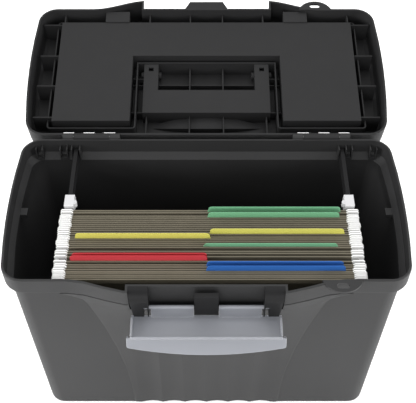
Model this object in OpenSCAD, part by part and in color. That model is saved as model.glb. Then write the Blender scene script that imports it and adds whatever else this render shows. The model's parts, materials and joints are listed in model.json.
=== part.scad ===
// Portable file box: a tub on a flat base, its hinged lid open, with hanging folders on two rails.
// X is to the right, Y to the back and Z up. The origin is the centre of the base.

/* [Tub] */
// Height of the rim above the base
rim_z = 292; // [285:1:298]
// Half width of the rim at its corners
rim_hw = 209.4; // [208:0.1:212]
// Half depth of the rim
rim_hd = 100; // [99:0.1:101]
// Radius of the rim's corners
rim_r = 20; // [16:1:24]
// Outward bow of the short sides at mid-depth
side_bow = 6.3; // [4:0.1:8]
// Forward bulge of the rim's front
front_bulge = 14.8; // [13:0.1:16]
// Wall thickness of the tub
wall = 2.6; // [2.4:0.1:3]
// Height of the collar under the rim
collar_h = 22.5; // [20:0.5:24]
// How far the collar stands out at the short sides
collar_side = 5.3; // [4:0.1:6]
// How far the collar stands out at the front and back
collar_front = 6.9; // [6:0.1:7.5]
// How far the body narrows from the collar to the base, each side
taper = 3.7; // [2:0.1:5]
// Depth of a flute between its crests
flute_h = 2.1; // [1:0.1:2.2]

/* [Lid] */
// Outer height of the lid
lid_h = 36; // [35:0.5:38]
// Wall thickness of the lid
lid_wall = 2.4; // [2.2:0.1:2.6]
// Gap between the closed lid and the rim
lid_gap = 0.3; // [0.2:0.1:0.5]
// Angle by which the lid stands open
lid_angle = 172.75; // [170:0.25:174]
// Half width of the lid's front recess for the latch
recess_hw = 80; // [79:0.5:82]

/* [Lid hinge] */
// Distance of the hinge axis behind the rim
hinge_out = 2.6; // [2.4:0.1:3]
// Radius of the knuckles
knuckle_r = 3.2; // [3:0.1:3.4]
// Radius of the hinge pins
pin_r = 1.5; // [1.2:0.1:1.6]
// Radial clearance of every pin in its hole
pin_gap = 0.05; // [0.02:0.01:0.1]

/* [Latch] */
// Distance of the latch axis in front of the rim's corners
latch_out = 13.5; // [13:0.1:14]
// Depth of the latch axis under the rim
latch_drop = 27.3; // [27:0.1:28]
// Radius of the latch pins
latch_pin_r = 2.2; // [2:0.1:2.4]
// Thickness of the latch
latch_t = 2; // [1.8:0.1:2.2]

/* [Folders] */
// Half width of a hanging folder's sheet
sheet_hw = 149.25; // [149:0.05:149.5]
// Distance from a sheet's side edge to the middle of its rail
rail_out = 5.45; // [5.3:0.05:5.6]
// How far the rails and folders sit to the right of the centre
folder_dx = 3.2; // [3:0.1:3.4]
// Depth of the rails' underside under the rim
rail_drop = 20.5; // [20:0.5:21]

/* [Hidden] */
$fn = 48;
CLEAR = 0.3;
STEP = 7;
EDGE = [0.3, 0.6, 0.85];
collar_z = rim_z - collar_h;
hinge_y = rim_hd + hinge_out;
hinge_z = rim_z + 0.75;
latch_y = rim_hd + latch_out;
latch_z = rim_z - latch_drop;
rail_x = sheet_hw + rail_out;
rail_z = rim_z - rail_drop;
lid_z = rim_z + lid_gap;
body_r = rim_r - 4;
pin_hole_r = pin_r + pin_gap;

// Curves of the tub's front
function clamp01(t) = min(1, max(0, t));
function smooth(t) = let (c = clamp01(t)) c * c * (3 - 2 * c);
function rim_bulge(x) = front_bulge * smooth((143 - abs(x)) / 68);
function panel_hw(z) = 91 + 37 * pow(z / 247, 2.2) + (z > 247 ? 18 * pow((z - 247) / 22.5, 2) : 0);
function panel_step(z) = 0.8 + (collar_front - 0.8) * pow(clamp01((z - 235) / 34.5), 1.5);
function panel_ramp(z) = front_bulge * pow(z / collar_z, 1.3);
function flute(x, z) = abs(x) > 84 ? 0 : -flute_h * clamp01((262 - z) / 27) * abs(sin(180 * x / 28));
function panel_ease(x, z) = let (top = clamp01((z - 225) / 44))
    (1 - top) * sin(90 * clamp01((panel_hw(z) - abs(x)) / 64)) + top * rim_bulge(x) / front_bulge;
function panel_proud(x, z) = panel_step(z) + panel_ramp(z) * panel_ease(x, z) + flute(x, z);

// Half a front outline from the centre out: pairs of x and how far it stands forward
function body_front(z, inset) = let (b = panel_hw(z) - inset) concat(
    [for (i = [0 : 12]) [i * STEP, panel_proud(i * STEP, z)]],
    [for (t = EDGE) let (x = 84 + (b - 84) * t) [x, panel_proud(x, z)]],
    [[b, panel_step(z)], [b + 1.5, 0], [(b + 190) / 2, 0]]);
function collar_front_line(z, inset) = let (b = panel_hw(collar_z) - inset) concat(
    [for (i = [0 : 12]) [i * STEP, rim_bulge(i * STEP)]],
    [for (t = EDGE) let (x = 84 + (b - 84) * t) [x, rim_bulge(x)]],
    [for (x = [b, b + 1.5, (b + 190) / 2]) [x, rim_bulge(x)]]);
function lid_front_line(a, wings) = concat(
    [for (x = [0, 40, a]) [x, 0.5]],
    [for (x = [a + 0.1, 90, 98, 106, 114, 122, 132, 143, 168]) [x, wings ? rim_bulge(x) : 0.5]]);

// Arc of a corner about its centre
function corner(x, y, r, from) = [for (a = [0 : 15 : 90]) [x + r * cos(from + a), y + r * sin(from + a)]];

// Closed outline, anticlockwise from the front left, with bowed short sides
function outline(hw, hd, r, front) = let (
        n = len(front) - 1,
        px = hw - r,
        py = hd - r,
        flat = concat(
            [for (i = [n : -1 : 0]) [-front[i][0], -hd]],
            [for (i = [1 : n]) [front[i][0], -hd]],
            corner(px, -py, r, -90),
            [for (t = [-0.6 : 0.3 : 0.6]) [hw, t * py]],
            corner(px, py, r, 0),
            [for (t = [0.5, 0, -0.5]) [t * px, hd]],
            corner(-px, py, r, 90),
            [for (t = [0.6 : -0.3 : -0.6]) [-hw, t * py]],
            corner(-px, -py, r, 180)))
    [for (i = [0 : len(flat) - 1]) let (
            p = flat[i],
            k = i <= n ? n - i : i - n,
            forward = i <= 2 * n ? front[k][1] : 0)
        [p[0] * (1 + side_bow / hw * (1 - pow(p[1] / hd, 2))), p[1] - forward]];

// One ring of the tub's body or of its collar
function body_ring(z, inset) = let (
        up = z / collar_z,
        hw = rim_hw - collar_side - taper * (1 - up) - inset,
        hd = rim_hd - collar_front - taper * (1 - up) - inset)
    [for (p = outline(hw, hd, body_r - inset, body_front(z, max(0, inset)))) [p[0], p[1], z]];
function collar_ring(z, inset) =
    [for (p = outline(rim_hw - inset, rim_hd - inset, rim_r - inset, collar_front_line(z, inset)))
        [p[0], p[1], z]];
function lid_ring(z, inset) = let (front = lid_front_line(recess_hw + inset, true))
    [for (p = outline(rim_hw - inset, rim_hd - inset, rim_r - inset, front)) [p[0], p[1], z]];
// Ring within a flat cap: its front is straight, so that a fan from the centre fills it
function lid_cap(z, inset) = let (front = lid_front_line(recess_hw + inset, false))
    [for (p = outline(rim_hw - inset - 2, rim_hd - inset - 2, rim_r - inset - 2, front)) [p[0], p[1], z]];

// Closed cup through a list of rings, from the outer bottom over the rim to the inner bottom
module cup(rings) {
    n = len(rings[0]);
    m = len(rings);
    points = concat(
        [for (r = rings) for (p = r) p],
        [[0, 0, rings[0][0][2]], [0, 0, rings[m - 1][0][2]]]);
    sides = [for (j = [0 : m - 2]) for (i = [0 : n - 1]) let (
            a = j * n + i,
            b = a + n,
            d = j * n + (i + 1) % n,
            c = d + n)
        each [[a, b, c], [a, c, d]]];
    bottom = [for (i = [0 : n - 1]) [n * m, i, (i + 1) % n]];
    floor = [for (i = [0 : n - 1]) [n * m + 1, (m - 1) * n + (i + 1) % n, (m - 1) * n + i]];
    polyhedron(points, concat(sides, bottom, floor));
}

// Small helpers
module both() {
    children();
    mirror([1, 0, 0]) children();
}
module bar_x(x0, x1, y, z, r) {
    translate([x0, y, z]) rotate([0, 90, 0]) cylinder(r = r, h = x1 - x0);
}
module block(x0, x1, y0, y1, z0, z1) {
    translate([x0, y0, z0]) cube([x1 - x0, y1 - y0, z1 - z0]);
}
// Prism along X whose outline is a list of [y, z] points
module prism_x(x0, x1, points) {
    translate([x0, 0, 0]) rotate([90, 0, 90]) linear_extrude(x1 - x0) polygon(points);
}
// Rounded tongue with an eye for a padlock, its tip forward
module padlock_eye(z0, z1, y_back) {
    difference() {
        translate([138.5, 9 - rim_hd, z0]) cylinder(r = 22.3, h = z1 - z0);
        block(100, 180, -y_back, 0, z0 - 1, z1 + 1);
        for (x = [135.2, 141.8]) translate([x, -rim_hd - 5.6, z0 - 1]) cylinder(r = 3.4, h = z1 - z0 + 2);
        block(135.2, 141.8, -rim_hd - 9, -rim_hd - 2.2, z0 - 1, z1 + 1);
    }
}

// Tub
// Each slot's centre and the distance from there to the middle of its ribs
slots_left = [[rail_x - folder_dx, 4.65], [rim_hw - 43.9, 3.95], [rim_hw - 15.65, 3.55]];
slots_right = [[rail_x + folder_dx, 4.1], [rim_hw - 43.9, 3.5], [rim_hw - 15.65, 3.55]];
rib_t = 1.2;
lug_x = [[rim_hw - 109.4, rim_hw - 97.4], [rim_hw - 55.4, rim_hw - 43.4]];
knuckle_x = [lug_x[0][1] + 0.4, lug_x[1][0] - 0.4];

module tub_cup() {
    cup([body_ring(0, 2.2), body_ring(0.8, 0.8), body_ring(3, 0),
        for (z = [45, 95, 145, 190, 220, 240, 252, 262, 268.5]) body_ring(z, 0),
        collar_ring(collar_z, 1.6), collar_ring(collar_z + 0.6, 0.5), collar_ring(collar_z + 2, 0),
        collar_ring(rim_z - 0.8, 0), collar_ring(rim_z, 0.8),
        collar_ring(rim_z, wall), collar_ring(collar_z + 4, wall),
        for (z = [267, 252, 240, 220, 145, 45, 6]) body_ring(z, wall),
        body_ring(3.6, wall + 0.9), body_ring(wall, wall + 3)]);
}
// Pairs of ribs that hold a rail's end, with the shelf it rests on
module rail_slots(slots, rib_y, shelf_y) {
    for (s = slots) {
        for (x = [s[0] - s[1], s[0] + s[1]])
            block(x - rib_t / 2, x + rib_t / 2, rib_y, rim_hd - 2.2, collar_z + 0.1, rim_z - 7);
        x0 = s[0] - s[1] - rib_t / 2;
        x1 = s[0] + s[1] + rib_t / 2;
        block(x0, x1, shelf_y, rim_hd - 2.2, collar_z + 0.1, rail_z);
        block(x0, x1, min(shelf_y, rim_hd - 11), rim_hd - collar_front - 1.1, collar_z - 3.5, collar_z + 0.2);
    }
}
module hinge_lugs() {
    for (x = lug_x) {
        bar_x(x[0], x[1], hinge_y, hinge_z, knuckle_r);
        prism_x(x[0], x[1], [[rim_hd - 1, rim_z - 11],
            [rim_hd + 4.8, rim_z - 6.5], [rim_hd + 4.8, hinge_z], [rim_hd - 0.3, hinge_z],
            [rim_hd - 1, rim_z]]);
    }
}
latch_hw = 79.6;
recess_y = rim_hd + 6.2;
recess_z = rim_z - 38;
module box_tub() color([0.20, 0.20, 0.21]) {
    difference() {
        union() {
            tub_cup();
            rail_slots(slots_right, rim_hd - 11, rim_hd - 11);
            mirror([0, 1, 0]) rail_slots(slots_right, rim_hd - 6, rim_hd - 8);
            mirror([1, 0, 0]) {
                rail_slots(slots_left, rim_hd - 11, rim_hd - 11);
                mirror([0, 1, 0]) rail_slots(slots_left, rim_hd - 6, rim_hd - 8);
            }
            both() {
                hinge_lugs();
                block(rim_hw - 9.4, rim_hw - 0.4, 7, 17, rim_z - 30, rim_z - 25);
            }
            // Wall round the recess that takes the latch bracket
            prism_x(-latch_hw - wall, latch_hw + wall,
                [[-recess_y + 2.6, recess_z - 4], [-recess_y - 2.2, recess_z - 4],
                [-recess_y - 6.4, recess_z + 14],
                [-recess_y - 6.4, rim_z - 0.4], [-recess_y + 2.6, rim_z - 0.4]]);
            padlock_eye(rim_z - 3, rim_z, rim_hd - 1.4);
        }
        prism_x(-latch_hw, latch_hw,
            [[-recess_y, recess_z], [-rim_hd - 40, recess_z], [-rim_hd - 40, rim_z + 9],
            [-recess_y, rim_z + 9]]);
        both() {
            block(knuckle_x[0] - 0.4, knuckle_x[1] + 0.4, rim_hd - 1, rim_hd + 10, rim_z - 7.5, rim_z + 2);
            bar_x(lug_x[0][0] - 1, lug_x[1][1] + 1, hinge_y, hinge_z, pin_hole_r);
        }
    }
}

// Bracket with two ears and a centre tab, set in the tub's front
ear_in = 59.2;
tab_hw = 12.3;
module ear() {
    difference() {
        intersection() {
            prism_x(ear_in, latch_hw - 0.05, [
                [-recess_y, recess_z + 0.1], [-recess_y - 12.4, recess_z + 0.1],
                [-recess_y - 12.8, recess_z + 25],
                for (a = [0 : 10 : 90]) [-recess_y - 12.8 * cos(a), recess_z + 25 + 13 * sin(a)]]);
            translate([0, 10 - rim_hd, 0]) rotate([90, 0, 0]) linear_extrude(40)
                polygon([[ear_in - 3, recess_z - 4], [latch_hw - 4.8, recess_z - 4], [latch_hw - 0.05, rim_z],
                    [ear_in - 3, rim_z]]);
        }
        // Slot that shows the end of the latch's pin
        block(ear_in + 1.3, ear_in + 5.2, -rim_hd - 30, -recess_y - 2.8, recess_z - 4, latch_z + 6.3);
    }
}
module latch_bracket() color([0.17, 0.17, 0.18]) {
    difference() {
        union() {
            both() ear();
            block(-ear_in, ear_in, -recess_y - 3.2, -recess_y, recess_z + 0.1, recess_z + 4);
            block(-tab_hw, tab_hw, -recess_y - 10, -recess_y, recess_z + 0.1, recess_z + 8);
            prism_x(-tab_hw, tab_hw, [[-recess_y - 5.2, recess_z + 7], [-recess_y - 10, recess_z + 7],
                for (a = [0 : 30 : 90]) [-recess_y - 8.5 - 1.5 * cos(a), rim_z - 6 + 1.5 * sin(a)],
                [-recess_y - 5.2, rim_z - 4.5]]);
        }
        both() bar_x(ear_in - 3, ear_in + 9, -latch_y, latch_z, latch_pin_r + pin_gap);
    }
}

// Latch, hanging open
flange_in = tab_hw + 0.7;
flange_out = ear_in - 1.7;
panel_y = -latch_y - 25;
panel_z = latch_z - 21.2;
flange_end_z = latch_z - 18.5;
module latch() color([0.72, 0.73, 0.76, 0.75]) {
    half = latch_t / 2;
    union() {
        both() {
            bar_x(flange_in, ear_in + 8.5, -latch_y, latch_z, latch_pin_r);
            block(flange_in, flange_out, -latch_y - half, -latch_y + half, flange_end_z, latch_z);
            // Low walls at the sides of the panel
            prism_x(77, 78.6, [[-latch_y - 2.5, flange_end_z - 0.5], [panel_y, panel_z],
                [panel_y, panel_z + 6], [-latch_y - 5.5, flange_end_z + 6],
                [-latch_y - 2.5, flange_end_z + 4.5]]);
        }
        // Panel from the flange forward
        prism_x(-78.6, 78.6, [[-latch_y + half, flange_end_z - half], [-latch_y + half, flange_end_z + half],
            [panel_y, panel_z + half], [panel_y - half, panel_z - half]]);
        // Hook, which closes over the lid's tongue
        translate([0, panel_y, panel_z]) rotate([-62, 0, 0]) {
            block(-78, 78, -12, 0, -half, half);
        }
        // Finger plate with a curved lower edge
        translate([0, panel_y, panel_z]) rotate([-30, 0, 0]) {
            translate([0, half, 0]) rotate([90, 0, 0]) linear_extrude(latch_t) finger_outline();
            both() block(81.2, 82.8, -0.2, 5, -8.5, 0);
        }
    }
}
module finger_outline() {
    polygon(concat([[-82.8, 0.6], [82.8, 0.6]],
        [for (a = [0 : 15 : 75]) [80.3 + 2.5 * cos(a), -8.5 - 2.5 * sin(a)]],
        [for (t = [0.98 : -0.14 : -0.99]) [80.3 * t, -19 + 8 * t * t]],
        [for (a = [105 : 15 : 180]) [-80.3 + 2.5 * cos(a), -8.5 - 2.5 * sin(a)]]));
}

// Rails and hinge pins
rail_hw = 3.3;
blade_hw = 2.3;
blade_top = rail_z + 9;
module rail() {
    block(rail_x - rail_hw, rail_x + rail_hw, 5 - rim_hd, rim_hd - 5, rail_z, rail_z + 3);
    block(rail_x - blade_hw, rail_x + blade_hw, 6.4 - rim_hd, rim_hd - 3.4, rail_z + 2.9, blade_top);
}
module rail_right() color([0.13, 0.13, 0.14]) translate([folder_dx, 0, 0]) rail();
module rail_left() color([0.13, 0.13, 0.14]) translate([folder_dx, 0, 0]) mirror([1, 0, 0]) rail();
module hinge_pin_right() color([0.6, 0.6, 0.62])
    bar_x(lug_x[0][0] + 0.5, lug_x[1][1] - 0.5, hinge_y, hinge_z, pin_r);
module hinge_pin_left() color([0.6, 0.6, 0.62]) mirror([1, 0, 0]) hinge_pin_right();

// Lid, drawn closed: s is the distance forward from the rear edge, e the height over the lid's edge
well_hw = rim_hw - 26.4;
well_s = 2 * rim_hd - 17;
well_in = 91;
well_floor = 6.5;
ledge = 5;
ledge_e = 31.4;
contour = 1.5;
skin = lid_h - lid_wall;
pocket_e = 14.5;
handle_s = 112;
handle_e = 26.6;
cover_s = 23.6;
cover_e = lid_h - 1;
cover_span = [108.3, 173.7];
cover_slot_x = [108.6, 133.5, 157.7];
scoop_s = 37;
scoop_depth = 9;

module at_lid() {
    translate([0, rim_hd, lid_z]) mirror([0, 1, 0]) children();
}
module opened() {
    translate([0, hinge_y, hinge_z]) rotate([-lid_angle, 0, 0]) translate([0, -hinge_y, -hinge_z]) children();
}
// Outline of the organiser: a band in front and a block at each side
module organiser(grow) {
    polygon([[-well_hw - grow, 25.6 - grow], [-well_in + grow, 25.6 - grow], [-well_in + grow, 127 - grow],
        [well_in - grow, 127 - grow], [well_in - grow, 25.6 - grow], [well_hw + grow, 25.6 - grow],
        [well_hw + grow, well_s + grow], [-well_hw - grow, well_s + grow]]);
}
module wells() {
    wt = 2;
    block(-well_hw + wt, well_hw - wt, 127 + wt, well_s - wt, well_floor + wt, lid_h + 5);
    both() block(well_in + wt, well_hw - wt, 25.6 + wt, 127 - wt / 2, well_floor + wt, lid_h + 5);
}
// U of the handle's pocket or of the handle itself
module handle_u(grow) {
    polygon([[-77 - grow, 44 - grow], [77 + grow, 44 - grow], [77 + grow, 122.5 + grow],
        [59.5 - grow, 122.5 + grow], [59.5 - grow, 79 + grow], [-59.5 + grow, 79 + grow],
        [-59.5 + grow, 122.5 + grow], [-77 - grow, 122.5 + grow]]);
}
// Finger scoop beside the handle: a long arc within a lens, 68 to each side and 7 wide
module scoop(grow) {
    side = 333.8;
    arc = 261.4;
    intersection() {
        translate([0, scoop_s, 0]) linear_extrude(lid_h + 5) intersection_for (k = [-1, 1])
            translate([0, k * (side - 7)]) circle(r = side + grow, $fn = 180);
        translate([0, scoop_s + 12, lid_h - scoop_depth + arc]) rotate([90, 0, 0])
            cylinder(r = arc + grow, h = 24, $fn = 120);
    }
}
module lid_ribs() {
    rt = 1.5;
    for (s = [32, 80, 128, well_s - 3]) both() block(well_hw - 1, rim_hw - 3.4, s - rt / 2, s + rt / 2,
        8, skin + 1);
    for (x = [20.5, 72, well_hw - 3]) both() block(x - rt / 2, x + rt / 2, well_s - 1,
        well_s + (x > 100 ? 15 : 15.5),
        8, skin + 1);
    both() block(20.5 - rt / 2, 20.5 + rt / 2, 2, 128, 22, skin + 1);
    both() block(72.5 - rt / 2, 72.5 + rt / 2, 2, 45, 22, skin + 1);
    for (s = [50, 103]) both() block(76, well_in + 1, s - rt / 2, s + rt / 2, 22, skin + 1);
    block(-well_in, well_in, 96.3, 97.8, 27, skin + 1);
    for (x = [130, 156]) both() block(x - rt / 2, x + rt / 2, 19.5, 26, 18, skin + 1);
    // Hollow pads between the front wall and the organiser
    both() {
        for (x = [98, 126.5]) {
            block(x, x + rt, well_s - 0.5, well_s + 17, 5, 26);
            block(x, x + rt, well_s - 0.5, well_s + 13.5, 25, skin + 1);
        }
        block(98, 128, well_s - 0.5, well_s + 17, 5, 6.6);
        block(98, 128, well_s + 15.5, well_s + 17, 5, 26);
        block(98, 128, well_s + 12, well_s + 17, 24.5, 26);
        block(98, 128, well_s + 12, well_s + 13.5, 25, skin + 1);
    }
}
// Rim that runs round the organiser, with a channel between them
module contour_rim() {
    difference() {
        offset(r = 4, $fn = 24) offset(delta = -4) organiser(ledge + contour);
        offset(r = 2.5, $fn = 24) offset(delta = -2.5) organiser(ledge);
    }
}
module lid_cup() {
    mirror([0, 0, 1]) cup([
        lid_cap(-36, 9.2), lid_ring(-36, 9.2), lid_ring(-35.2, 6.4),
        lid_ring(-33.6, 3.8), lid_ring(-31, 2), lid_ring(-27, 1.2), lid_ring(0, 0),
        lid_ring(0, lid_wall), lid_ring(-27, lid_wall + 1.2), lid_ring(-31, lid_wall + 3),
        lid_ring(-33.6, lid_wall + 6.5), lid_cap(-33.6, lid_wall + 6.5)]);
}
module lid_closed() {
    difference() {
        union() {
            translate([0, 0, lid_z]) lid_cup();
            at_lid() {
                translate([0, 0, well_floor]) linear_extrude(skin - well_floor + 0.5) organiser(0);
                translate([0, 0, 13]) linear_extrude(skin - 12.5) contour_rim();
                translate([0, 0, ledge_e]) linear_extrude(skin - ledge_e + 0.5) organiser(ledge + 0.5);
                translate([0, 0, pocket_e]) linear_extrude(skin - pocket_e + 0.5) handle_u(0);
                both() for (x = [[56.2, 60], [76.4, 80.8]]) bar_x(x[0], x[1], handle_s, handle_e, 4.6);
                intersection() {
                    scoop(2);
                    block(-90, 90, 5, 60, 0, skin + 1);
                }
                lid_ribs();
                both() {
                    // Ears of the cover's hinge
                    for (x = [104.6, 174.4]) block(x, x + 3, 20.6, 26.8, 30, lid_h + 0.6);
                }
            }
            // Tongue that the latch closes over
            translate([0, 0, lid_z]) linear_extrude(3)
                polygon([[-27, 1 - rim_hd], [-27, -rim_hd - 0.5], [-21, -rim_hd - 12.4], [21, -rim_hd - 12.4],
                    [27, -rim_hd - 0.5], [27, 1 - rim_hd]]);
            padlock_eye(lid_z, lid_z + 3, rim_hd - 1);
            both() {
                bar_x(knuckle_x[0], knuckle_x[1], hinge_y, hinge_z, knuckle_r);
                prism_x(knuckle_x[0], knuckle_x[1],
                    [[rim_hd - 1, hinge_z], [hinge_y + 3.2, hinge_z], [hinge_y + 3.2, rim_z + 4],
                    [rim_hd - 1, rim_z + 10]]);
            }
        }
        at_lid() {
            wells();
            // Ledge that the organiser's cover lies on
            translate([0, 0, lid_h - 2.4]) linear_extrude(9) organiser(ledge - 1.2);
            translate([0, 0, 16.5]) linear_extrude(lid_h) handle_u(-2);
            scoop(0);
            // Gap between the scoop and the handle
            block(-25, 25, scoop_s, 47, lid_h - 7.6, lid_h + 5);
            both() {
                bar_x(57, 80, handle_s, handle_e, 2.25 + pin_gap);
                block(65.5, 71.5, handle_s - 3, handle_s + 3, 0, 20);
                // Trough, pin holes and slots of the cover's hinge
                block(107.8, 174.2, 21.4, 26.6, 32.6, lid_h + 5);
                bar_x(104, 178, cover_s, cover_e, 0.9 + pin_gap);
                for (x = cover_slot_x) {
                    block(x, x + 15.5, 25, 30.8, 29.3, 33);
                    block(x, x + 15.5, 18, 21.5, 18.5, ledge_e);
                }
            }
        }
        both() {
            for (x = lug_x) bar_x(x[0] - 0.4, x[1] + 0.4, hinge_y, hinge_z, knuckle_r + 0.4);
            bar_x(lug_x[0][0] - 1, lug_x[1][1] + 1, hinge_y, hinge_z, pin_hole_r);
        }
    }
}
module lid_shell() color([0.24, 0.24, 0.25]) opened() lid_closed();

// Clear cover of the organiser, closed
module organizer_cover() color([0.75, 0.77, 0.8, 0.5]) opened() at_lid() {
    difference() {
        union() {
            translate([0, 0, lid_h - 2.2]) linear_extrude(2) organiser(ledge - 1.8);
            both() bar_x(cover_span[0], cover_span[1], cover_s, cover_e, 1.6);
        }
        both() {
            for (x = [[80, 108], [174, 190]]) block(x[0], x[1], 15, cover_s + 2, 30, lid_h + 5);
            for (x = [104.2, 174]) block(x, x + 3.8, 15, 27, 30, lid_h + 5);
            for (x = cover_slot_x) block(x, x + 15.5, 27, 30.8, 30, lid_h + 5);
        }
    }
    both() bar_x(105, 177.2, cover_s, cover_e, 0.9);
}

// Handle, snapped into its pocket
module carry_handle() color([0.2, 0.2, 0.21]) opened() at_lid() {
    difference() {
        union() {
            translate([0, 0, 18.6]) linear_extrude(16) difference() {
                translate([-74.6, 47]) square([149.2, handle_s - 47]);
                translate([-62, 75.5]) square([124, 60]);
            }
            both() {
                bar_x(62, 74.6, handle_s, handle_e, 8);
                bar_x(58, 78.5, handle_s, handle_e, 2.25);
            }
        }
        // Hollow of the grip's back
        block(-58, 58, 51, 73, 15, 30);
    }
}

// Hanging folders: centre of each along Y and half the distance between its rods
folder_y = [for (d = [9, 14, 18.7, 24.5, 33.4, 42, 50, 55.4, 61, 67.1, 72.9, 78.4, 84, 89.7,
    97.3]) d - rim_hd];
wide_folder = 4;
folder_h = 1.35;
wide_h = 3.1;
rod_t = 1;
sheet_t = 0.35;
rod_z = [rail_z + 6.9, rail_z + 12.5];
sheet_bottom = 47;
function rod_gap(i) = i == wide_folder ? wide_h : folder_h;
// How far a folder is pushed sideways on its rails
function folder_x(i) = folder_dx + 0.6 * sin(137 * i + 20);
// Middle of a folder and half its inner thickness, from the rods down; the wall pushes the first ones back
function hang(i) = let (y = folder_y[i], foot = i == wide_folder ? wide_h : 0.5)
    i == 0 ? [[y, folder_h, rod_z[0]], [11.1 - rim_hd, 0.5, rim_z - 26], [14.35 - rim_hd, 0.5, sheet_bottom]]
    : [[y, rod_gap(i), rod_z[0]], [i == 1 ? 16.2 - rim_hd : y, foot, sheet_bottom]];
function hang_outline(i, grow, lift) = let (p = hang(i), n = len(p) - 1) concat(
    [for (k = [0 : n]) [p[k][0] - p[k][1] - grow, p[k][2] + (k == n ? lift : 0)]],
    [for (k = [n : -1 : 0]) [p[k][0] + p[k][1] + grow, p[k][2] + (k == n ? lift : 0)]]);

module folder_sheet(i) {
    y = folder_y[i];
    h = rod_gap(i);
    half = rod_t / 2;
    difference() {
        union() {
            prism_x(-sheet_hw, sheet_hw, hang_outline(i, sheet_t, 0));
            for (d = [-h, h]) block(-sheet_hw, sheet_hw, y + d - half - sheet_t, y + d + half + sheet_t,
                rod_z[0] - sheet_t - 0.1, rod_z[1] + sheet_t + 0.1);
        }
        prism_x(-sheet_hw - 1, sheet_hw + 1, hang_outline(i, 0, 0.7));
        block(-sheet_hw - 1, sheet_hw + 1, y - h, y + h, rod_z[0] - 0.01, rod_z[1] + 9);
        for (d = [-h, h]) block(-sheet_hw - 1, sheet_hw + 1, y + d - half - 0.05, y + d + half + 0.05,
            rod_z[0] - 0.1, rod_z[1] + 0.1);
    }
    for (d = [-h, h]) {
        difference() {
            block(-sheet_hw, sheet_hw, y + d - half - sheet_t, y + d + half + sheet_t,
                rod_z[0] - sheet_t - 0.1, rod_z[1] + sheet_t + 0.1);
            block(-sheet_hw - 1, sheet_hw + 1, y + d - half - 0.05, y + d + half + 0.05,
                rod_z[0] - 0.1, rod_z[1] + 0.1);
        }
    }
}
// Flat rod with a hook at each end that sits on a rail
module folder_rod(y) {
    translate([0, y + rod_t / 2, 0]) rotate([90, 0, 0]) linear_extrude(rod_t) {
        translate([-rail_x + 8.7, rod_z[0]]) square([2 * (rail_x - 8.7), rod_z[1] - rod_z[0]]);
        // The notch leaves room on both sides of the rail's blade
        both() translate([rail_x, rail_z]) polygon([[-10.7, 6.9], [-5.2, 6.9], [-5, 4.3], [-3.7, 4.3],
            [-blade_hw - 2 * CLEAR, blade_top - rail_z + CLEAR],
            [blade_hw + 2 * CLEAR, blade_top - rail_z + CLEAR],
            [3.7, 3.7], [5.7, 2.9], [7.5, 4.9], [7.8, 12.9], [6.2, 15.1],
            [-4.5, 15.1], [-6.3, 12.5], [-10.7, 12.5]]);
    }
}
module sheets(first, last) color([0.40, 0.38, 0.31]) for (i = [first : last])
    translate([folder_x(i), 0, 0]) folder_sheet(i);
module hooks(first, last) color([0.93, 0.93, 0.94]) for (i = [first : last])
    translate([folder_x(i), 0, 0]) {
        folder_rod(folder_y[i] - rod_gap(i));
        folder_rod(folder_y[i] + rod_gap(i));
    }
// Index folder: a leaf with one raised tab
module index_folder(y, x0, x1, top, shoulder = 283) {
    translate([0, y + 0.22, 0]) rotate([90, 0, 0]) linear_extrude(0.45) {
        left = folder_dx - sheet_hw + 3.25;
        right = folder_dx + sheet_hw - 3.25;
        polygon(concat([[left, sheet_bottom + 1.5], [right, sheet_bottom + 1.5], [right, shoulder]],
            [[min(x1 + 1.5, right - 0.5), shoulder], [min(x1 + 0.8, right - 0.5), shoulder + 1.5]],
            [for (a = [0 : 22.5 : 90]) [x1 - 4 + 4 * cos(a), top - 4 + 4 * sin(a)]],
            [for (a = [90 : 22.5 : 180]) [x0 + 4 + 4 * cos(a), top - 4 + 4 * sin(a)]],
            [[max(x0 - 0.8, left + 0.02), shoulder + 1.5], [max(x0 - 1.5, left + 0.01), shoulder],
                [left, shoulder]]));
    }
}
BLUE = [0.18, 0.40, 0.72];
RED = [0.70, 0.19, 0.23];
YELLOW = [0.92, 0.89, 0.41];
GREEN = [0.38, 0.60, 0.44];
tab_top = 292.6;
module index_blue_front() color(BLUE) index_folder(folder_y[2], 0.6, 143.4, tab_top);
module index_blue_rear() color(BLUE) index_folder(folder_y[3], 0.6, 142, tab_top);
module index_red_front() color(RED) index_folder(folder_y[wide_folder] - 1.75, -142, 0.6, tab_top, 268);
module index_red_rear() color(RED) index_folder(folder_y[wide_folder] + 1.75, -140.4, 0.6, tab_top, 268);
module index_green_low() color(GREEN) index_folder(folder_y[6], -2.5, 138.3, 289.6);
module index_yellow_left() color(YELLOW) index_folder(folder_y[8], -139.2, 3.5, tab_top);
module index_yellow_right() color(YELLOW) index_folder(folder_y[9], 4.1, 146.7, tab_top);
module index_green_front() color(GREEN) index_folder(folder_y[13], 2, 143.6, tab_top);
module index_green_rear() color(GREEN) index_folder(folder_y[14], 2.1, 145.3, tab_top);
module sheets_front() sheets(0, 4);
module sheets_second() sheets(5, 8);
module sheets_third() sheets(9, 11);
module sheets_rear() sheets(12, 14);
module hooks_front() hooks(0, 4);
module hooks_second() hooks(5, 8);
module hooks_third() hooks(9, 11);
module hooks_rear() hooks(12, 14);

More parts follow.
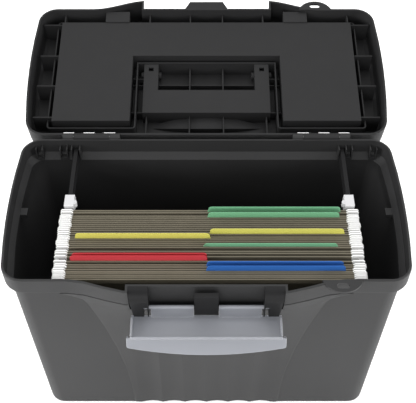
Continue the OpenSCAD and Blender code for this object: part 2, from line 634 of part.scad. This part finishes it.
// White stop that slides on a rail behind the folders
stop_y = folder_y[14] + 4.9;
module folder_stop() color([0.93, 0.93, 0.94]) {
    difference() {
        union() {
            prism_x(rail_x - 6.5, rail_x + 4, [[stop_y, rail_z + 3.4], [stop_y + 17.8, rail_z + 3.4],
                [stop_y + 17.8, rail_z + 11.5], [stop_y + 16.4, rail_z + 16.5],
                [stop_y + 1, rail_z + 17.1], [stop_y, rail_z + 16.1]]);
            // Lobe for the thumb
            translate([rail_x - 6.3, stop_y + 6.2, rail_z + 9.7]) cylinder(r = 3.2, h = 6.6);
        }
        block(rail_x - blade_hw - CLEAR, rail_x + blade_hw + CLEAR, stop_y - 2, stop_y + 28, rail_z - 1.5,
            blade_top + CLEAR);
    }
}
module folder_stop_right() translate([folder_dx, 0, 0]) folder_stop();
module folder_stop_left() translate([folder_dx, 0, 0]) mirror([1, 0, 0]) folder_stop();

box_tub();
latch_bracket();
rail_left();
rail_right();
hinge_pin_left();
hinge_pin_right();
lid_shell();
organizer_cover();
carry_handle();
latch();
sheets_front();
sheets_second();
sheets_third();
sheets_rear();
hooks_front();
hooks_second();
hooks_third();
hooks_rear();
index_blue_front();
index_blue_rear();
index_red_front();
index_red_rear();
index_green_low();
index_yellow_left();
index_yellow_right();
index_green_front();
index_green_rear();
folder_stop_left();
folder_stop_right();
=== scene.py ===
# %% [markdown]
# # A portable file box, lid open
# The part arrives as CAD solids in metres, already in place. This lesson gives each of them the finish
# of the real object: moulded black plastic, a frosted latch, pressboard folders and coloured tabs.

# %% Load the frame
import json
import math

import bmesh
import bpy
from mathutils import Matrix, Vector


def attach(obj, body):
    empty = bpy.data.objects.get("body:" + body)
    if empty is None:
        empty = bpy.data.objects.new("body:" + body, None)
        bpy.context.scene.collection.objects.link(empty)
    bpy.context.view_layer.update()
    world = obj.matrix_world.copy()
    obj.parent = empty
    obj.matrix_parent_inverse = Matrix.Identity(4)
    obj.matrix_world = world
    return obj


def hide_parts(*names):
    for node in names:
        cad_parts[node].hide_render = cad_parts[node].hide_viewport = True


MM = 0.001
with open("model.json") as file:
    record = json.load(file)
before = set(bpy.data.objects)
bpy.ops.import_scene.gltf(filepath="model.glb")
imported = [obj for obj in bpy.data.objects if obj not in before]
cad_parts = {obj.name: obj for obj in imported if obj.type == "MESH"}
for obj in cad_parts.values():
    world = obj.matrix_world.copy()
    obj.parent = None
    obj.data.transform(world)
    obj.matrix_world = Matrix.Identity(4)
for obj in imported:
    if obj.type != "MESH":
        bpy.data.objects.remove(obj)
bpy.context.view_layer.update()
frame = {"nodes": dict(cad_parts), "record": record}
nodes = frame["nodes"]
body_of = {}
for body, members in frame["record"]["behaviour"]["bodies"].items():
    for member in members:
        body_of[member] = body

# %% [markdown]
# ## The camera
# The photograph was taken from above and in front. Its vanishing lines give the distance, the pitch and
# the focal length, and the box stands a little below the middle of the picture, which the shift repeats.

# %% Camera
PHOTO_SIZE = (416, 403)
FOCAL_PIXELS = 831.0
PRINCIPAL_POINT = (206.4, 254.5)
CAMERA_PLACE = Vector((0, -579.0, 985.0)) * MM
CAMERA_PITCH = math.radians(53.51)
SENSOR = 36.0

camera_data = bpy.data.cameras.new("studio_camera")
camera_data.sensor_width = SENSOR
camera_data.lens = FOCAL_PIXELS / PHOTO_SIZE[0] * SENSOR
camera_data.shift_x = (PHOTO_SIZE[0] / 2 - PRINCIPAL_POINT[0]) / PHOTO_SIZE[0]
camera_data.shift_y = (PRINCIPAL_POINT[1] - PHOTO_SIZE[1] / 2) / PHOTO_SIZE[0]
camera_data.clip_start = 0.05
camera_data.clip_end = 20
camera = bpy.data.objects.new("studio_camera", camera_data)
camera.location = CAMERA_PLACE
camera.rotation_euler = (math.pi / 2 - CAMERA_PITCH, 0, 0)
bpy.context.scene.collection.objects.link(camera)
bpy.context.scene.camera = camera
print("lens", round(camera_data.lens, 2), "shift", round(camera_data.shift_y, 3))

# %% [markdown]
# ## Shader maths as Python
# A node tree is easier to read as an expression. This class wraps one socket, and its operators add
# Math nodes. Every other node comes from one method, which sets the node first and then its sockets.


# %% Sockets and shaders
class Socket:
    """One output of a node, with operators that add Math nodes."""

    def __init__(self, shader, output):
        self.shader = shader
        self.output = output

    def math(self, operation, other, swapped=False):
        pair = (other, self) if swapped else (self, other)
        return self.shader.node("Math", {"operation": operation}, {0: pair[0], 1: pair[1]})

    def __add__(self, other):
        return self.math("ADD", other)

    def __radd__(self, other):
        return self.math("ADD", other, swapped=True)

    def __sub__(self, other):
        return self.math("SUBTRACT", other)

    def __rsub__(self, other):
        return self.math("SUBTRACT", other, swapped=True)

    def __mul__(self, other):
        return self.math("MULTIPLY", other)


class Shader:
    """A material with a Principled BSDF, and one method that adds nodes to it."""

    def __init__(self, name, **plain):
        self.material = bpy.data.materials.new(name)
        self.material.use_nodes = True
        self.tree = self.material.node_tree
        self.surface = self.tree.nodes["Principled BSDF"]
        for socket_name, value in plain.items():
            self.surface.inputs[socket_name.replace("_", " ")].default_value = value

    def node(self, kind, settings=None, inputs=None, output=0):
        made = self.tree.nodes.new("ShaderNode" + kind)
        for key, value in (settings or {}).items():
            setattr(made, key, value)
        for key, value in (inputs or {}).items():
            self.feed(made.inputs[key], value)
        return Socket(self, made.outputs[output])

    def feed(self, socket, value):
        if isinstance(value, Socket):
            self.tree.links.new(value.output, socket)
        else:
            socket.default_value = value

    def mix(self, factor, first, second):
        colours = {6: self.colour(first), 7: self.colour(second), 0: factor}
        return self.node("Mix", {"data_type": "RGBA"}, colours, output=2)

    def colour(self, value):
        return value if isinstance(value, Socket) else (*value, 1)

    def object_place(self):
        return self.node("TexCoord", output=3)

    def noise(self, scale, detail=2.0, roughness=0.5, stretch=None):
        place = self.object_place()
        if stretch:
            place = self.node("Mapping", inputs={"Vector": place, "Scale": stretch})
        sockets = {"Vector": place, "Scale": scale, "Detail": detail, "Roughness": roughness}
        return self.node("TexNoise", inputs=sockets)

    def painted_highlight_mask(self, radius, low, high):
        """1 on edges and 0 elsewhere, from how far the normal turns within a radius: the mask of a
        painted edge highlight.
        """
        bevelled = self.node("Bevel", {"samples": 4}, {"Radius": radius})
        plain = self.node("NewGeometry", output=1)
        turn = self.node("VectorMath", {"operation": "DOT_PRODUCT"}, {0: bevelled, 1: plain}, output=1)
        limits = {"Value": 1 - turn, "From Min": low, "From Max": high}
        return self.node("MapRange", inputs=limits)

    def bump(self, height, distance, strength=1.0):
        sockets = {"Height": height, "Distance": distance, "Strength": strength}
        self.feed(self.surface.inputs["Normal"], self.node("Bump", inputs=sockets))

    def paint(self, **sockets):
        for socket_name, value in sockets.items():
            name = socket_name.replace("_", " ")
            self.feed(self.surface.inputs[name], self.colour(value) if name == "Base Color" else value)


# %% [markdown]
# ## Black moulded plastic
# Polypropylene out of a textured mould has a fine grain, scuffs lighter than black, and a broad soft
# sheen. Two noises do it: a fine one for the grain's bump and a slow one for how dull the surface is.


# %% Moulded plastic
def moulded_plastic(name, colour, gloss, grain_depth, dust=0.3, sheen=0.3):
    shader = Shader(name, IOR=1.49, Specular_IOR_Level=sheen)
    slow = shader.noise(9.0, detail=4.0)
    grain = shader.noise(1900.0, detail=1.0)
    flow = shader.noise(42.0, detail=3.0, stretch=(1, 1, 0.15))
    pale = tuple(min(1, channel * 1.5 + 0.008) for channel in colour)
    scuffed = shader.mix((slow * flow) * dust, colour, pale)
    shader.paint(Base_Color=scuffed, Roughness=gloss + slow * 0.12 + (grain - 0.5) * 0.08)
    shader.bump(grain, grain_depth)
    return shader.material


BLACK = (0.021, 0.021, 0.0215)
tub_plastic = moulded_plastic("tub_plastic", BLACK, 0.46, 0.00012, sheen=0.24)
lid_plastic = moulded_plastic("lid_plastic", (0.020, 0.020, 0.0205), 0.46, 0.00010, sheen=0.12)
bracket_plastic = moulded_plastic("bracket_plastic", (0.011, 0.011, 0.0115), 0.38, 0.00005, sheen=0.10)
white_plastic = moulded_plastic("white_plastic", (0.86, 0.86, 0.85), 0.34, 0.00003, dust=0.1, sheen=0.5)
# The folder stops are the same white plastic as the hooks; their darker grey is painted shade.
stop_plastic_painted_shade = moulded_plastic("stop_plastic_painted_shade", (0.54, 0.54, 0.55), 0.4, 0.00003, dust=0.1, sheen=0.3)

# %% [markdown]
# ## Frosted latch
# The latch is unpigmented polypropylene: light goes in, is scattered and comes out again, so it looks
# pale grey with brighter edges. A rough transmission over a pale base gives the pale grey; the brighter
# edges are a painted highlight, a paler colour mixed in where the normal turns.


# %% Frosted plastic
def frosted_plastic(name, colour, transmission, painted_highlight_colour):
    shader = Shader(name, IOR=1.45, Transmission_Weight=transmission)
    cloud = shader.noise(30.0, detail=3.0)
    grain = shader.noise(1500.0, detail=1.0)
    pale = tuple(min(1, channel * 1.12) for channel in colour)
    # painted highlight: the edges take the paler highlight colour, standing in for light caught there
    edges = shader.painted_highlight_mask(0.0009, 0.02, 0.16)
    body = shader.mix(cloud, colour, pale)
    shader.paint(Base_Color=shader.mix(edges, body, painted_highlight_colour), Roughness=0.34 + cloud * 0.12)
    shader.bump(grain, 0.00004)
    return shader.material


# both frosted parts get a painted edge highlight in their last colour
latch_plastic = frosted_plastic("latch_plastic", (0.28, 0.29, 0.32), 0.35, (0.80, 0.81, 0.84))
cover_plastic = frosted_plastic("cover_plastic", (0.50, 0.52, 0.56), 0.55, (0.72, 0.73, 0.76))

# %% [markdown]
# ## Steel, pressboard and card
# The hinge pins are plain drawn steel. Pressboard is pressed from fibres, so it is mottled at the size
# of a millimetre. Tabbed card is smoother and coloured through.


# %% Steel and card
def drawn_steel(name):
    shader = Shader(name, Metallic=1.0)
    streaks = shader.noise(300.0, detail=2.0, stretch=(0.05, 1, 1))
    drawn = shader.mix(streaks, (0.42, 0.42, 0.43), (0.6, 0.6, 0.6))
    shader.paint(Base_Color=drawn, Roughness=0.3 + streaks * 0.15)
    return shader.material


def pressed_card(name, colour, mottle, fleck):
    shader = Shader(name, IOR=1.4)
    fibres = shader.noise(700.0, detail=5.0, roughness=0.7)
    cloud = shader.noise(60.0, detail=3.0)
    dark = tuple(channel * (1 - mottle) for channel in colour)
    pale = tuple(min(1, channel * (1 + mottle)) for channel in colour)
    mottled = shader.mix(fibres * 0.7 + cloud * 0.3, dark, pale)
    shader.paint(Base_Color=mottled, Roughness=0.62 + fibres * fleck)
    shader.bump(fibres, 0.00008)
    return shader.material


pin_steel = drawn_steel("pin_steel")
olive_pressboard = pressed_card("olive_pressboard", (0.118, 0.104, 0.074), 0.35, 0.2)
card_colours = {
    "blue": (0.021, 0.12, 0.42),
    "red": (0.53, 0.04, 0.052),
    "green": (0.155, 0.40, 0.225),
    "yellow": (0.62, 0.585, 0.115),
}
cards = {name: pressed_card(name + "_card", colour, 0.10, 0.1) for name, colour in card_colours.items()}

# %% [markdown]
# ## Dressing a CAD solid
# A moulded part has no sharp edge. A copy of the CAD mesh is welded, its flat faces are joined, edges
# that turn by more than a few degrees get a small round, and weighted normals keep flat faces flat.


# %% Dress a node
SHARP_ANGLE = 28.0
FLUTE_ANGLE = 20.0
FLAT_ANGLE = 0.2
WELD_GAP = 0.004 * MM


def dressed(node, material, edge, sharp=SHARP_ANGLE, segments=2):
    piece = bpy.data.objects.new(node + "_piece", nodes[node].data.copy())
    bpy.context.scene.collection.objects.link(piece)
    mesh = bmesh.new()
    mesh.from_mesh(piece.data)
    bmesh.ops.remove_doubles(mesh, verts=mesh.verts, dist=WELD_GAP)
    bmesh.ops.dissolve_limit(
        mesh,
        angle_limit=math.radians(FLAT_ANGLE),
        verts=mesh.verts,
        edges=mesh.edges,
        delimit={"NORMAL"},
    )
    for face in mesh.faces:
        face.smooth = True
    for line in mesh.edges:
        line.smooth = line.is_manifold and line.calc_face_angle(0) < math.radians(sharp)
    mesh.to_mesh(piece.data)
    mesh.free()
    piece.data.materials.clear()
    piece.data.materials.append(material)
    round_edges(piece, edge, sharp, segments)
    settle(piece, node)
    return piece


def round_edges(piece, edge, sharp, segments):
    if edge:
        bevel = piece.modifiers.new("rounded edges", "BEVEL")
        bevel.width = edge * MM
        bevel.segments = segments
        bevel.limit_method = "ANGLE"
        bevel.angle_limit = math.radians(sharp)
        bevel.use_clamp_overlap = True
        bevel.harden_normals = False
    piece.modifiers.new("flat faces", "WEIGHTED_NORMAL").keep_sharp = not edge


def settle(piece, node):
    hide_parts(node)
    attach(piece, body_of[node])


# %% [markdown]
# ## The moulded parts
# They come straight from their solids, with small rounds. The tub's flutes meet at shallow angles, so
# its edges count as sharp sooner. The hinge pins keep their solids and only change material.

# %% Tub, lid, latch, rails and stops
dressed("box_tub", tub_plastic, 0.35, sharp=FLUTE_ANGLE)
dressed("latch_bracket", bracket_plastic, 0.5)
dressed("lid_shell", lid_plastic, 0.3)
dressed("carry_handle", lid_plastic, 1.2, segments=3)
dressed("organizer_cover", cover_plastic, 0.3)
dressed("latch", latch_plastic, 0.5, segments=3)
for side in ("left", "right"):
    dressed("rail_" + side, bracket_plastic, 0.3)
    dressed("folder_stop_" + side, stop_plastic_painted_shade, 0.8, segments=3)
    pin_materials = nodes["hinge_pin_" + side].data.materials
    pin_materials.clear()
    pin_materials.append(pin_steel)

# %% [markdown]
# ## Folders
# Each hanging folder is one sheet folded round two rods, and the rods end in hooks.

# %% Folder groups
for group in ("front", "second", "third", "rear"):
    dressed("sheets_" + group, olive_pressboard, 0)
    dressed("hooks_" + group, white_plastic, 0.15)
for node in nodes:
    if node.startswith("index_"):
        colour = node.split("_")[1]
        dressed(node, cards[colour], 0)

# %% [markdown]
# ## Studio
# A pale floor and large soft lights, as in a catalogue picture: one broad light above and behind, one
# in front, one at each side that grazes the fluted wall, and an even white sky.


# %% Floor and lights
FLOOR_HALF_WIDTH = 6
FLOOR_GLOW = 0.3
SKY_STRENGTH = 0.75


def studio_floor():
    mesh = bmesh.new()
    bmesh.ops.create_grid(mesh, x_segments=1, y_segments=1, size=FLOOR_HALF_WIDTH)
    data = bpy.data.meshes.new("floor")
    mesh.to_mesh(data)
    mesh.free()
    floor = bpy.data.objects.new("floor", data)
    bpy.context.scene.collection.objects.link(floor)
    glow = {"Emission_Color": (1, 1, 1, 1), "Emission_Strength": FLOOR_GLOW}
    paper = Shader("floor_paper", Roughness=0.9, **glow)
    tone = paper.noise(3.0)
    paper.paint(Base_Color=paper.mix(tone, (0.93, 0.93, 0.93), (0.96, 0.96, 0.96)))
    data.materials.append(paper.material)


def soft_light(name, place, target, size, power):
    data = bpy.data.lights.new(name, "AREA")
    data.shape = "RECTANGLE"
    data.size, data.size_y = size
    data.energy = power
    light = bpy.data.objects.new(name, data)
    light.location = place
    light.rotation_euler = (Vector(target) - Vector(place)).to_track_quat("-Z", "Y").to_euler()
    bpy.context.scene.collection.objects.link(light)


studio_floor()
sky = bpy.data.worlds.new("studio_sky")
sky.use_nodes = True
sky.node_tree.nodes["Background"].inputs[0].default_value = (1, 1, 1, 1)
sky.node_tree.nodes["Background"].inputs[1].default_value = SKY_STRENGTH
bpy.context.scene.world = sky
soft_light("overhead", (0, 0.5, 2.2), (0, 0, 0.2), (2.4, 1.6), 22)
soft_light("front", (-0.3, -2.4, 1.1), (0, 0, 0.15), (1.6, 1.0), 24)
soft_light("left side", (-2.7, -0.6, 0.8), (0, 0, 0.15), (1.0, 1.6), 78)
soft_light("right side", (2.7, -0.6, 0.8), (0, 0, 0.15), (1.0, 1.6), 56)
bpy.context.scene.view_settings.view_transform = "Standard"

# %% End
print("scene built")
